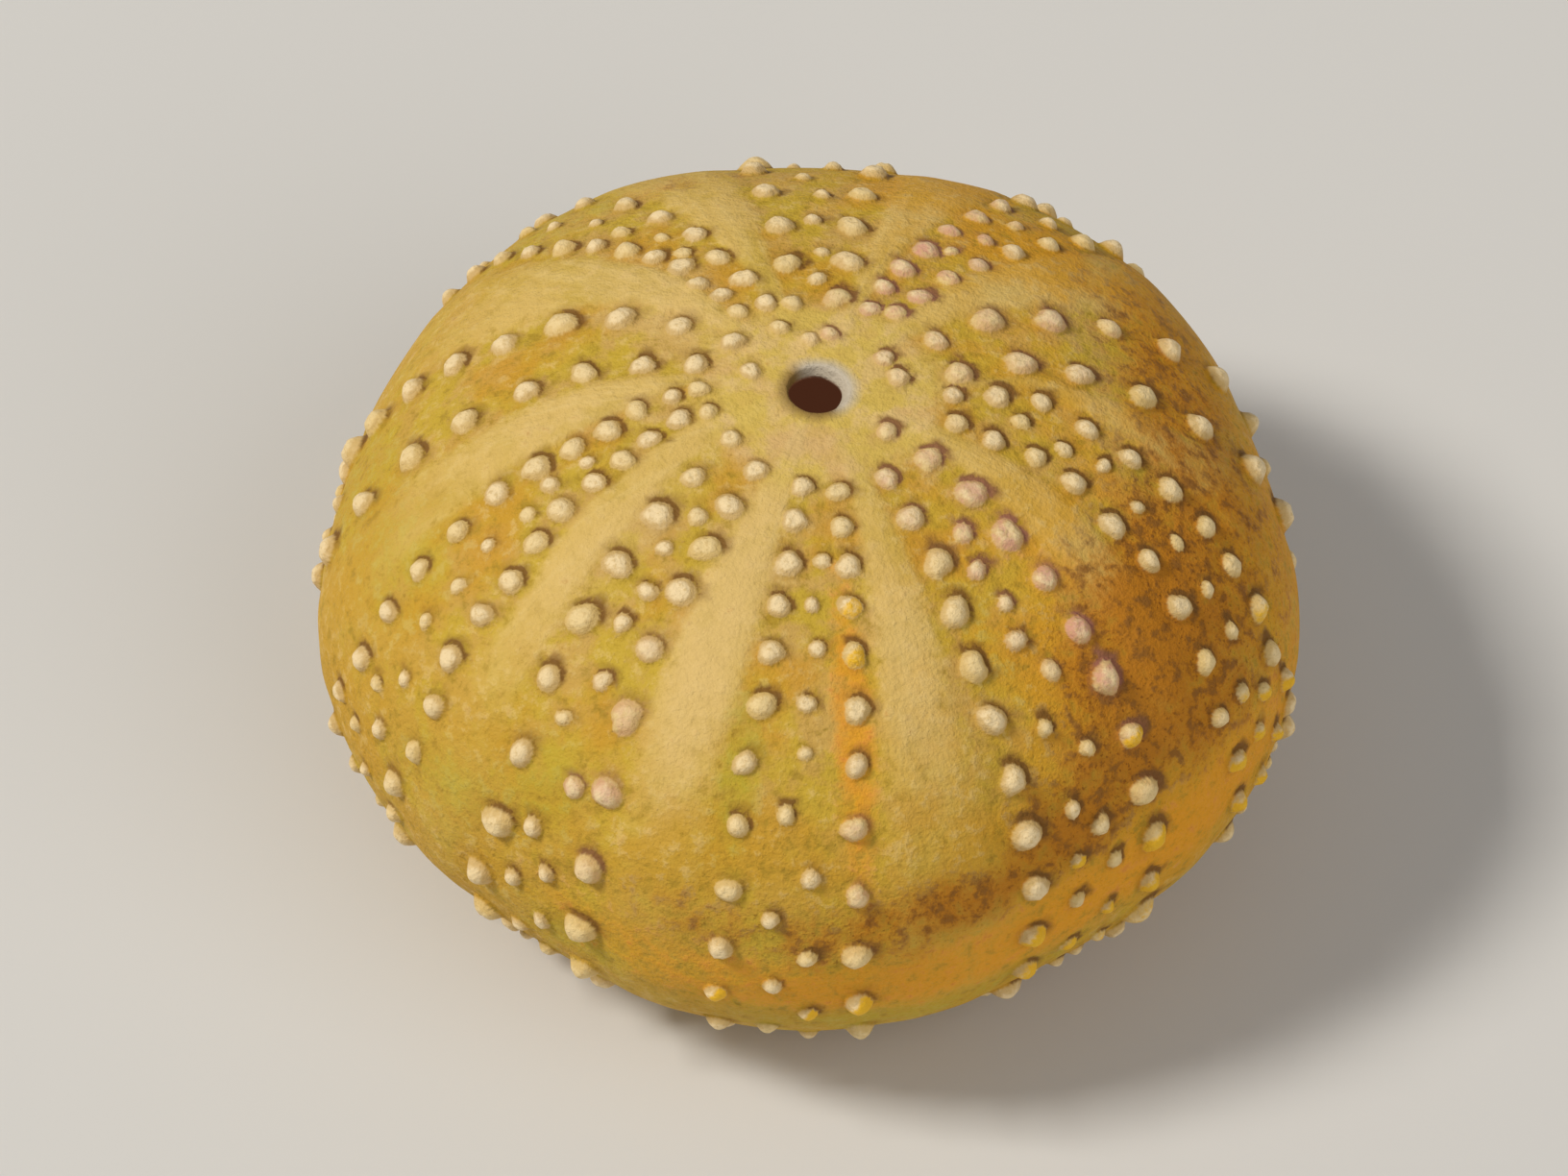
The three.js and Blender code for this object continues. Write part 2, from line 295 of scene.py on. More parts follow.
def small_knobs(sector):
    """The small knobs that wander about a sector's middle, and stand two abreast further down."""
    zone = ZONES[sector["zone"]]
    arc = sector["first_small"]
    side = 1
    knobs = []
    while arc < LAST_KNOB_ARC - 3:
        abreast = arc > zone["abreast_from"]
        half = np.interp(arc, STATION_ARCS, sector["halves"])
        offset = half * (side * (ABREAST_OFFSET if abreast else SINGLE_OFFSET) + rng.normal(0, 0.06))
        azimuth = np.interp(arc, STATION_ARCS, sector["middles"]) + offset
        radius = zone["small_knob"] * knob_size(arc) * rng.uniform(0.8, 1.15)
        knobs.append((arc + rng.normal(0, 0.2), azimuth, radius, 1))
        step = (spacing(sector["rows"][0], arc) + spacing(sector["rows"][1], arc)) / 2 * zone["small_step"]
        arc += step * (CROWDED_STEP if arc > CROWDED_FROM_ARC else 1)
        side = -side
    return knobs


def lay_out_knobs():
    """Every knob as (arc, azimuth in degrees, radius, small?)."""
    knobs = []
    for sector in SECTORS:
        knobs += row_knobs(sector, -1) + row_knobs(sector, 1) + small_knobs(sector)
    return np.array(knobs, float)


class Knobs:
    """All knobs, as arrays: their places, sizes, irregularities and tints."""

    def __init__(self):
        table = lay_out_knobs()
        count = len(table)
        self.arc = table[:, 0]
        self.azimuth = np.radians(table[:, 1])
        self.radius = table[:, 2]
        self.small = table[:, 3] > 0
        self.place = body_points(self.arc, self.azimuth)
        self.down, self.around, self.out = body_directions(self.arc, self.azimuth)
        self.oval = rng.uniform(0.02, 0.11, count)
        self.oval_turn = rng.uniform(0, 2 * math.pi, count)
        self.corner = rng.uniform(0.01, 0.06, count)
        self.corner_turn = rng.uniform(0, 2 * math.pi, count)
        self.rise = KNOB_RISE * (1 + FLANK_RISE_GROWTH * smoothstep(16, 38, self.arc))
        self.rise *= rng.uniform(0.85, 1.15, count)
        self.dimple = np.where(rng.uniform(0, 1, count) < DIMPLED_SHARE, rng.uniform(0.1, 0.24, count), 0)
        # How dark each knob's crescent is: stronger on the shell's shaded right side (painted shade) and in
        # the brown patches, varying at random.
        side = np.cos(self.azimuth - math.radians(20))
        pigment_and_shade = 0.45 + 0.5 * smoothstep(-0.3, 0.8, side)
        pigment_and_shade += 0.4 * patch_mask(BROWN_STAIN_AND_SHADE_PATCHES, self.arc, self.azimuth)
        self.pigment_and_shade = np.clip(pigment_and_shade * rng.uniform(0.4, 1.6, count), 0, 1)
        self.pink = patch_mask(PINK_PATCHES, self.arc, self.azimuth) * rng.uniform(0.8, 1, count)
        spotted = rng.uniform(0, 1, count) < SPOTTED_SHARE
        self.yellow = patch_mask(YELLOW_PATCHES, self.arc, self.azimuth) * spotted
        self.tone = rng.uniform(0, 1, count)

    def near(self, points):
        """Every pair of a point and a knob near it.

        Returns their numbers, the offset, its direction round the knob and its length in knob radii.
        """
        rows, cols = [], []
        for start in range(0, len(points), 4000):
            block = points[start:start + 4000]
            gap = np.linalg.norm(block[:, None, :] - self.place[None, :, :], axis=2) / self.radius[None, :]
            i, j = np.nonzero(gap < KNOB_REACH)
            rows.append(i + start)
            cols.append(j)
        i, j = np.concatenate(rows), np.concatenate(cols)
        offset = points[i] - self.place[j]
        turn = np.arctan2((offset * self.down[j]).sum(1), (offset * self.around[j]).sum(1))
        outline = 1 + self.oval[j] * np.cos(2 * (turn - self.oval_turn[j]))
        outline += self.corner[j] * np.cos(3 * (turn - self.corner_turn[j]))
        outline += self.corner[j] * 0.6 * np.cos(5 * turn + 3 * self.corner_turn[j])
        share = np.linalg.norm(offset, axis=1) / (self.radius[j] * outline)
        return i, j, offset, turn, share

    def nearest(self, points):
        """Each point's nearest knob, its distance in knob radii (9 where none is near) and the offset."""
        i, j, offset, _, share = self.near(points)
        order = np.argsort(-share)
        best = np.full(len(points), 9.0)
        which = np.zeros(len(points), int)
        offsets = np.zeros((len(points), 3))
        best[i[order]] = share[order]
        which[i[order]] = j[order]
        offsets[i[order]] = offset[order]
        return which, best, offsets

    def height(self, points):
        """How far the surface stands out from the plain body: a soft lump in a faint hollow ring."""
        i, j, offset, turn, share = self.near(points)
        dome = 1 - np.clip(share, 0, 1.08) ** 2 / 1.17
        lumps = 0.06 * np.sin(4 * turn + 6 * self.tone[j]) + 0.05 * np.sin(7 * turn + 20 * self.tone[j])
        lumps = 1 + lumps * smoothstep(0.1, 0.8, share)
        dent = self.dimple[j] * np.exp(-(share / 0.3) ** 2)
        ring = smoothstep(1.0, 1.15, share) * (1 - smoothstep(1.25, 1.75, share))
        up = np.zeros(len(points))
        down = np.zeros(len(points))
        np.maximum.at(up, i, self.radius[j] * (self.rise[j] * dome * lumps - dent))
        np.maximum.at(down, i, self.radius[j] * 0.04 * ring)
        return up - down


knobs = Knobs()


# ---------------------------------------------------------------- zones
def sector_position(arc, azimuth):
    """0 in the middle of a double row, 1 on its rows of knobs, about 1.7 in the bare band beside it."""
    best = np.full(len(arc), 9.0)
    degrees = np.degrees(azimuth)
    for sector in SECTORS:
        middle = np.interp(arc, STATION_ARCS, sector["middles"])
        half = np.interp(arc, STATION_ARCS, sector["halves"])
        off = np.abs((degrees - middle + 180) % 360 - 180)
        best = np.minimum(best, off / half)
    return best


def zone_height(arc, azimuth):
    """The bare bands between the double rows stand slightly proud, and the surface undulates a little."""
    band = smoothstep(1.2, 1.9, sector_position(arc, azimuth))
    fade = smoothstep(4, 14, arc) * (1 - smoothstep(48, 60, arc))
    waves = 0.05 * np.sin(0.9 * arc + 2 * np.sin(3 * azimuth)) * np.sin(11 * azimuth + 0.3 * arc)
    return (0.2 * band + waves) * fade


# ---------------------------------------------------------------- the outside as a cloud of points
def knob_cloud():
    """Rings of points on and around each knob, leaving out those that a neighbour is nearer to."""
    arcs, azimuths, owners = [], [], []
    for index in range(len(knobs.arc)):
        arc, radius = knobs.arc[index], knobs.radius[index]
        for share, count in SMALL_RINGS if knobs.small[index] else KNOB_RINGS:
            turn = np.linspace(0, 2 * math.pi, count, endpoint=False) + rng.uniform(0, 6.28)
            at = arc + share * radius * np.cos(turn)
            arcs.append(at)
            azimuths.append(knobs.azimuth[index] + share * radius * np.sin(turn) / radius_at(at))
            owners.append(np.full(count, index))
    arcs, azimuths, owners = (np.concatenate(part) for part in (arcs, azimuths, owners))
    which = knobs.nearest(body_points(arcs, azimuths))[0]
    kept = (which == owners) & (arcs > APEX_ARC + 0.5) & (arcs < MOUTH_ARC - 0.4)
    return arcs[kept], azimuths[kept]


def fill_cloud():
    """Slightly uneven rows of points over the rest."""
    rows = np.linspace(APEX_ARC + 0.25, MOUTH_ARC, int((MOUTH_ARC - APEX_ARC) / FILL_SPACING))[1:-1]
    arcs, azimuths = [], []
    for arc in rows:
        count = int(2 * math.pi * radius_at(arc) / FILL_SPACING)
        turn = np.linspace(0, 2 * math.pi, count, endpoint=False) + rng.uniform(0, 6.28)
        azimuths.append(turn + rng.uniform(-FILL_JITTER, FILL_JITTER, count) * 2 * math.pi / count)
        arcs.append(arc + rng.uniform(-FILL_JITTER, FILL_JITTER, count) * FILL_SPACING)
    arcs = np.clip(np.concatenate(arcs), APEX_ARC + 0.4, MOUTH_ARC - 0.25)
    azimuths = np.concatenate(azimuths)
    which, share, _ = knobs.nearest(body_points(arcs, azimuths))
    clear = share > np.where(knobs.small[which], SMALL_CLEARANCE, FILL_CLEARANCE)
    return arcs[clear], azimuths[clear]


def outside_cloud():
    """Arcs and azimuths of all points on the outside, with the two rims first."""
    rim = np.linspace(0, 2 * math.pi, RIM_POINTS, endpoint=False)
    parts = [(np.full(RIM_POINTS, arc), rim) for arc in (APEX_ARC, MOUTH_ARC, APEX_ARC + 0.12)]
    parts += [knob_cloud(), fill_cloud()]
    arcs, azimuths = zip(*parts)
    return np.concatenate(arcs), np.concatenate(azimuths)


def triangulate(arc, azimuth):
    """Delaunay triangles on the sphere round the body's centre, projected from its lowest point."""
    r = radius_at(arc)
    z = np.interp(arc, ARC, PROFILE_Z) - BODY_CENTRE_Z
    reach = r / (np.hypot(r, z) + z)
    flat = [Vector((float(x), float(y))) for x, y in zip(reach * np.cos(azimuth), reach * np.sin(azimuth))]
    _, _, faces, origins, _, _ = delaunay_2d_cdt(flat, [], [], 0, 1e-9)
    source = np.array([o[0] for o in origins])
    faces = source[np.array(faces)]
    across_hole = (faces < RIM_POINTS).all(1)
    return faces[~across_hole]


# ---------------------------------------------------------------- the inside
def inside_rings():
    """Rings from the rim at the apex, through the opening, down the inside and out to the mouth's rim.

    Returns the points, each ring's place along the way, 0 at the apex and 1 at the mouth, and the number
    of rings in the opening.
    """
    inner_radius = AMBITUS_RADIUS - SIDE_WALL
    inner_top = HEIGHT - CROWN_WALL
    rim_z = float(np.interp(APEX_RIM_RADIUS, PROFILE_R[:PROFILE_STEPS], PROFILE_Z[:PROFILE_STEPS]))
    depth = np.array(THROAT_DEPTHS)
    narrowing = 1 - (depth / depth[-1]) ** 0.5
    throat_r = APEX_THROAT_RADIUS + (APEX_RIM_RADIUS - APEX_THROAT_RADIUS) * narrowing
    throat_z = rim_z - depth
    crown = crown_curve(inner_radius, inner_top, INNER_CROWN_RINGS, APEX_THROAT_RADIUS)
    base = base_curve(inner_radius, BASE_WALL, REST_OUTER_RADIUS, INNER_BASE_RINGS)
    r = np.concatenate([throat_r, crown[0], base[0][1:], [p[0] for p in MOUTH_LIP]])
    z = np.concatenate([throat_z, crown[1], base[1][1:], [p[1] for p in MOUTH_LIP]])
    turn = np.linspace(0, 2 * math.pi, RIM_POINTS, endpoint=False)
    rings_r = r[:, None] * lobe_factor(r[:, None], turn[None, :])
    uneven = 1 + 0.014 * np.sin(3 * turn + 1) + 0.01 * np.sin(5 * turn)
    shift = np.zeros(len(r))
    shift[:len(depth) + 1] = np.append(depth / depth[-1], 1)
    rings_r *= 1 + shift[:, None] * (uneven[None, :] - 1)
    x = rings_r * np.cos(turn) + shift[:, None] * THROAT_SHIFT[0]
    y = rings_r * np.sin(turn) + shift[:, None] * THROAT_SHIFT[1]
    points = np.stack([x, y, np.broadcast_to(z[:, None], x.shape)], -1)
    way = np.cumsum(np.hypot(np.diff(r, prepend=r[0]), np.diff(z, prepend=z[0])))
    return points, way / way[-1], len(depth)


def ring_strip(first, second):
    """Triangles between two rings of vertex numbers."""
    a, b = first, np.roll(first, -1)
    c, d = second, np.roll(second, -1)
    return np.concatenate([np.stack([a, b, c], -1), np.stack([b, d, c], -1)])


# ---------------------------------------------------------------- masks for the material
def add_numbers(mesh, name, outside, inside):
    layer = mesh.attributes.new(name, "FLOAT", "POINT")
    layer.data.foreach_set("value", np.concatenate([outside, inside]).astype(np.float32))


def paint(mesh, arc, azimuth, plain, rings, throat_rings):
    """Per-vertex masks, first for the outside's vertices and then for the inside's."""
    which, share, offset = knobs.nearest(plain)
    nothing = np.zeros(rings.shape[0] * rings.shape[1])
    direction = offset / np.maximum(np.linalg.norm(offset, axis=1, keepdims=True), 1e-6)
    # The dark crescent round a knob: a faint ring of brown pigment all round, and painted shade on the
    # knob's shaded side.
    ring = smoothstep(0.84, 1.0, share) * (1 - smoothstep(1.15, 1.65, share))
    shaded = smoothstep(0, 0.75, direction @ np.array(KNOB_SHADE_SIDE))
    spot = smoothstep(-0.62, -0.02, (offset @ np.array(YELLOW_SIDE)) / knobs.radius[which])
    knob = 1 - smoothstep(0.86, 1.1, share)
    near = 1 - smoothstep(1.0, 1.8, share)

    outside = dict(
        knob=knob,
        knob_top_and_highlight=1 - smoothstep(0.25, 0.95, share),
        tone=knobs.tone[which] * near,
        halo_pigment_and_shade=ring * (0.1 + 0.9 * shaded) * knobs.pigment_and_shade[which],
        pink=near * knobs.pink[which],
        yellow=knob * spot * knobs.yellow[which],
        band=smoothstep(1.1, 2.0, sector_position(arc, azimuth)),
        apex=1 - smoothstep(5, 11, arc),
        low=smoothstep(22, 36, arc),
        brown_stain_and_shade=patch_mask(BROWN_STAIN_AND_SHADE_PATCHES, arc, azimuth),
        orange_reflection_and_streaks=patch_mask(ORANGE_REFLECTION_AND_STREAK_PATCHES, arc, azimuth),
        green=patch_mask(GREEN_PATCHES, arc, azimuth),
        pale=patch_mask(PALE_PATCHES, arc, azimuth),
        # Amber tint over the right side, away from the key light: partly the shell's own colour, partly
        # painted shade.
        amber_and_shade=smoothstep(-0.4, 0.9, np.cos(azimuth - math.radians(10))) * smoothstep(6, 26, arc),
        rim=1 - smoothstep(APEX_ARC + 0.05, APEX_ARC + 0.4, arc),
    )
    for name, values in outside.items():
        inside_values = nothing
        if name == "rim":
            inside_values = np.repeat(np.arange(len(rings)) < throat_rings, rings.shape[1])
        add_numbers(mesh, name, values, inside_values)
    add_numbers(mesh, "inside", np.zeros(len(arc)), nothing + 1)

    every = np.concatenate([plain, rings.reshape(-1, 3)])
    flat = every[:, :2] / np.maximum(np.linalg.norm(every[:, :2], axis=1, keepdims=True), 1e-6)
    # Painted light: the rim and throat are paler on the side that faces the key light, and darker (painted
    # shade) on the other.
    rim_light = smoothstep(-0.35, 0.35, flat @ np.array(LIT_RIM_SIDE)[:2])
    add_numbers(mesh, "rim_light", rim_light[:len(arc)], rim_light[len(arc):])

    down_the_arc = np.concatenate([arc, nothing])
    along = mesh.attributes.new("meridian", "FLOAT_VECTOR", "POINT")
    vectors = np.stack([flat[:, 0] * 16, flat[:, 1] * 16, down_the_arc / 9], -1)
    along.data.foreach_set("vector", vectors.astype(np.float32).ravel())


# ---------------------------------------------------------------- texture map
# Three round charts: the top seen from above, the underside as a ring, and the inside.
TOP_CHART = (0.365, 0.635, 0.355)
BASE_CHART = (0.80, 0.20, 0.195)
INSIDE_CHART = (0.14, 0.14, 0.13)
MOUTH_SHARE = 0.35  # of the underside chart's radius


def unwrap(mesh, arc, azimuth, rings, way):
    turns = np.linspace(0, 2 * math.pi, RIM_POINTS, endpoint=False)
    all_turns = np.concatenate([azimuth, np.tile(turns, len(rings))])
    all_arcs = np.concatenate([arc, np.repeat(way, RIM_POINTS)])
    count = len(mesh.loops)
    corner_vertices = np.zeros(count, np.int32)
    mesh.loops.foreach_get("vertex_index", corner_vertices)
    corners = corner_vertices.reshape(-1, 3)
    is_inside = corners.max(1) >= len(arc)
    outside_arc = all_arcs[corners]
    is_base = ~is_inside & (outside_arc.mean(1) > AMBITUS_ARC)

    reach = np.zeros(corners.shape)
    top_reach = outside_arc / (AMBITUS_ARC + 1.5)
    base_reach = 1 - (1 - MOUTH_SHARE) * (outside_arc - AMBITUS_ARC + 1.5) / (MOUTH_ARC - AMBITUS_ARC + 1.5)
    on_apex_rim = corners < RIM_POINTS
    on_outside = corners < len(arc)
    inside_reach = np.where(on_outside, np.where(on_apex_rim, 0.05, 1.0), 0.07 + 0.9 * all_arcs[corners])
    centres = np.zeros(corners.shape + (2,))
    charts = (
        (~is_inside & ~is_base, TOP_CHART, top_reach),
        (is_base, BASE_CHART, base_reach),
        (is_inside, INSIDE_CHART, inside_reach),
    )
    for chosen, chart, values in charts:
        reach[chosen] = values[chosen] * chart[2]
        centres[chosen] = chart[:2]
    corner_turns = all_turns[corners]
    uv = centres + reach[..., None] * np.stack([np.cos(corner_turns), np.sin(corner_turns)], -1)
    layer = mesh.uv_layers.new(name="OFBake")
    layer.data.foreach_set("uv", uv.astype(np.float32).ravel())


# ---------------------------------------------------------------- the shell
def build_shell():
    arc, azimuth = outside_cloud()
    plain = body_points(arc, azimuth)
    out = body_directions(arc, azimuth)[2]
    raised = knobs.height(plain) + zone_height(arc, azimuth)
    raised[:3 * RIM_POINTS] = 0
    outer = plain + out * raised[:, None]
    outer[:, 2] = np.maximum(outer[:, 2], 0)
    outer_faces = triangulate(arc, azimuth)

    rings, way, throat_rings = inside_rings()
    first = len(outer)
    numbers = [np.arange(RIM_POINTS)]
    numbers += [first + k * RIM_POINTS + np.arange(RIM_POINTS) for k in range(len(rings))]
    numbers += [RIM_POINTS + np.arange(RIM_POINTS)]
    inner_faces = np.concatenate([ring_strip(a, b) for a, b in zip(numbers, numbers[1:])])

    vertices = np.concatenate([outer, rings.reshape(-1, 3)])
    low, high = (np.array(corner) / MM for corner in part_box(NODE))
    middle = (vertices.min(0) + vertices.max(0)) / 2
    vertices[:, :2] += ((low + high) / 2 - middle)[:2]

    mesh = bpy.data.meshes.new("shell")
    faces = np.concatenate([outer_faces, inner_faces])
    mesh.from_pydata((vertices * MM).tolist(), [], faces.tolist())
    mesh.polygons.foreach_set("use_smooth", np.ones(len(faces), bool))
    mesh.update()
    paint(mesh, arc, azimuth, plain, rings, throat_rings)
    unwrap(mesh, arc, azimuth, rings, way)
    mesh.materials.append(shell_material())
    shell = bpy.data.objects.new("shell", mesh)
    bpy.context.collection.objects.link(shell)
    print("shell:", len(vertices), "vertices,", len(faces), "triangles,", len(knobs.arc), "knobs")
    return shell


# ---------------------------------------------------------------- material
class Graph:
    """A material's nodes, made by short calls that return output sockets."""

    def __init__(self, name):
        self.material = bpy.data.materials.new(name)
        self.material.use_nodes = True
        self.nodes = self.material.node_tree.nodes
        self.links = self.material.node_tree.links
        self.shader = self.nodes["Principled BSDF"]

    def feed(self, value, socket):
        if isinstance(value, bpy.types.NodeSocket):
            self.links.new(value, socket)
        else:
            socket.default_value = value

    def attribute(self, name, output="Fac"):
        node = self.nodes.new("ShaderNodeAttribute")
        node.attribute_name = name
        return node.outputs[output]

    def noise(self, place, size, detail=3, roughness=0.55):
        """Cloudy noise whose patches are about `size` across, in the units of `place`."""
        node = self.nodes.new("ShaderNodeTexNoise")
        self.feed(place, node.inputs["Vector"])
        node.inputs["Scale"].default_value = 1 / size
        node.inputs["Detail"].default_value = detail
        node.inputs["Roughness"].default_value = roughness
        return node.outputs["Fac"]

    def math(self, operation, a, b):
        node = self.nodes.new("ShaderNodeMath")
        node.operation = operation
        self.feed(a, node.inputs[0])
        self.feed(b, node.inputs[1])
        return node.outputs[0]

    def times(self, *values):
        product = values[0]
        for value in values[1:]:
            product = self.math("MULTIPLY", product, value)
        return product

    def ramp(self, value, low, high, top=1.0):
        """0 where the value is under `low`, rising smoothly to `top` where it is over `high`."""
        node = self.nodes.new("ShaderNodeMapRange")
        node.interpolation_type = "SMOOTHSTEP"
        self.feed(value, node.inputs["Value"])
        node.inputs["From Min"].default_value = low
        node.inputs["From Max"].default_value = high
        node.inputs["To Max"].default_value = top
        return node.outputs["Result"]

    def ragged(self, mask, noise, amount):
        """A soft mask whose edge is broken up by noise."""
        wobble = self.math("MULTIPLY", self.math("SUBTRACT", noise, 0.5), amount)
        return self.ramp(self.math("ADD", mask, wobble), 0.15, 0.85)

    def mix(self, factor, a, b):
        node = self.nodes.new("ShaderNodeMix")
        node.data_type = "RGBA"
        self.feed(factor, node.inputs["Factor"])
        self.feed(a, node.inputs[6])
        self.feed(b, node.inputs[7])
        return node.outputs[2]


# Linear colours.
YELLOW_OLIVE = (0.60, 0.41, 0.045, 1)
TAN = (0.62, 0.39, 0.10, 1)
OCHRE = (0.62, 0.32, 0.03, 1)
BAND = (0.72, 0.49, 0.14, 1)
BAND_OLIVE = (0.60, 0.41, 0.07, 1)
LOW_OCHRE = (0.60, 0.35, 0.035, 1)
STRAW = (0.80, 0.58, 0.21, 1)
OLIVE = (0.38, 0.24, 0.025, 1)
# Amber of the right side: partly the shell's own colour, partly painted shade.
AMBER = (0.74, 0.35, 0.02, 1)
APEX = (0.80, 0.56, 0.23, 1)
APEX_YELLOW = (0.72, 0.52, 0.11, 1)
APEX_TAN = (0.72, 0.47, 0.22, 1)
BROWN = (0.52, 0.19, 0.012, 1)
DARK_BROWN = (0.22, 0.075, 0.01, 1)
# Orange: painted reflected floor light along the lower edge, and the shell's own orange streaks.
ORANGE = (0.86, 0.36, 0.02, 1)
RED_ORANGE = (0.78, 0.20, 0.02, 1)
GREEN = (0.48, 0.40, 0.03, 1)
# Dark brown of the knobs' crescents: a little pigment, mostly painted shade.
HALO_PIGMENT_AND_SHADE = (0.20, 0.09, 0.02, 1)
MAUVE = (0.36, 0.14, 0.11, 1)
# Cream of the knob tops: their own colour, partly a painted highlight.
KNOB_CREAM_AND_HIGHLIGHT = (0.90, 0.70, 0.40, 1)
KNOB_EDGE = (0.66, 0.45, 0.18, 1)
KNOB_PINK = (0.70, 0.34, 0.24, 1)
KNOB_YELLOW = (0.90, 0.52, 0.03, 1)
# Painted light on the rim's lit side, and painted shade on its other side.
RIM_LIT = (0.60, 0.52, 0.40, 1)
RIM_SHADED = (0.28, 0.17, 0.05, 1)
# Brown of the inside, also the colour of its painted glow.
INSIDE_AND_GLOW = (0.30, 0.12, 0.06, 1)
BLACK = (0, 0, 0, 1)


def body_colour(g, clouds, patches, mottle, grain, streaks):
    """The shell between the knobs: mottled olive, paler bare bands, then the stains, the amber and brown
    being partly painted shade on the right side and the orange along the lower edge painted reflected floor
    light.
    """
    low = g.attribute("low")
    sector = g.mix(g.ramp(mottle, 0.42, 0.6), YELLOW_OLIVE, TAN)
    sector = g.mix(g.ramp(patches, 0.46, 0.64, 0.8), sector, OCHRE)
    band = g.mix(g.ramp(patches, 0.42, 0.62, 0.9), BAND, BAND_OLIVE)
    band = g.mix(g.ramp(streaks, 0.5, 0.7, 0.5), band, STRAW)
    band_fade = g.math("SUBTRACT", 1.0, g.times(low, 0.75))
    band_mask = g.times(g.ragged(g.attribute("band"), clouds, 0.8), band_fade)
    colour = g.mix(band_mask, sector, band)
    colour = g.mix(g.times(low, g.ramp(mottle, 0.3, 0.6, 0.8)), colour, LOW_OCHRE)
    # Amber over the right side: partly own colour, partly painted shade.
    colour = g.mix(g.times(g.attribute("amber_and_shade"), g.ramp(patches, 0.3, 0.55, 0.8)), colour, AMBER)
    colour = g.mix(g.ramp(clouds, 0.52, 0.68, 0.5), colour, STRAW)
    shade = g.times(g.ramp(clouds, 0.47, 0.3, 0.7), g.math("SUBTRACT", 1.0, g.times(band_mask, 0.7)))
    colour = g.mix(shade, colour, OLIVE)
    colour = g.mix(g.times(g.ragged(g.attribute("pale"), clouds, 0.5), 0.6), colour, APEX)
    apex = g.mix(g.ramp(mottle, 0.4, 0.56), APEX, APEX_YELLOW)
    apex = g.mix(g.ramp(patches, 0.5, 0.62, 0.6), apex, APEX_TAN)
    colour = g.mix(g.times(g.ragged(g.attribute("apex"), clouds, 0.8), 0.75), colour, apex)
    colour = g.mix(g.times(g.ragged(g.attribute("green"), clouds, 1.2), 0.8), colour, GREEN)
    # Orange: painted reflected floor light along the lower edge, and the shell's own orange streaks.
    orange_reflection_and_streaks = g.mix(g.ramp(clouds, 0.56, 0.7, 0.6), ORANGE, RED_ORANGE)
    colour = g.mix(g.times(g.ragged(g.attribute("orange_reflection_and_streaks"), clouds, 1.5), 0.75), colour, orange_reflection_and_streaks)
    # Brown patches: partly stains, partly painted shade on the shell's right side.
    brown_stain_and_shade = g.mix(g.ramp(clouds, 0.48, 0.64, 0.85), BROWN, DARK_BROWN)
    blotches = g.math("ADD", g.times(clouds, 0.6), g.times(mottle, 0.4))
    brown_mask = g.ragged(g.attribute("brown_stain_and_shade"), blotches, 2.2)
    colour = g.mix(g.times(brown_mask, 0.9), colour, brown_stain_and_shade)
    speckled = g.times(g.math("ADD", g.attribute("brown_stain_and_shade"), 0.22), g.math("SUBTRACT", 1.0, band_mask))
    return g.mix(g.times(g.ramp(grain, 0.58, 0.7, 0.7), speckled), colour, DARK_BROWN)


def knob_colour(g, clouds, grain):
    # Knobs paler at the centre than at the edge: their own cream colour, partly a painted highlight.
    top = g.math("ADD", g.attribute("knob_top_and_highlight"), g.times(g.math("SUBTRACT", clouds, 0.5), 1.6))
    colour = g.mix(g.ramp(top, 0.0, 0.7), KNOB_EDGE, KNOB_CREAM_AND_HIGHLIGHT)
    colour = g.mix(g.ramp(g.attribute("tone"), 0.3, 1.0, 0.5), colour, STRAW)
    colour = g.mix(g.times(g.attribute("pink"), g.ramp(clouds, 0.65, 0.35, 0.9)), colour, KNOB_PINK)
    colour = g.mix(g.ramp(grain, 0.52, 0.68, 0.55), colour, KNOB_EDGE)
    yellow = g.math("ADD", g.attribute("yellow"), g.times(g.math("SUBTRACT", grain, 0.5), 0.6))
    return g.mix(g.ramp(yellow, 0.2, 0.7), colour, KNOB_YELLOW)


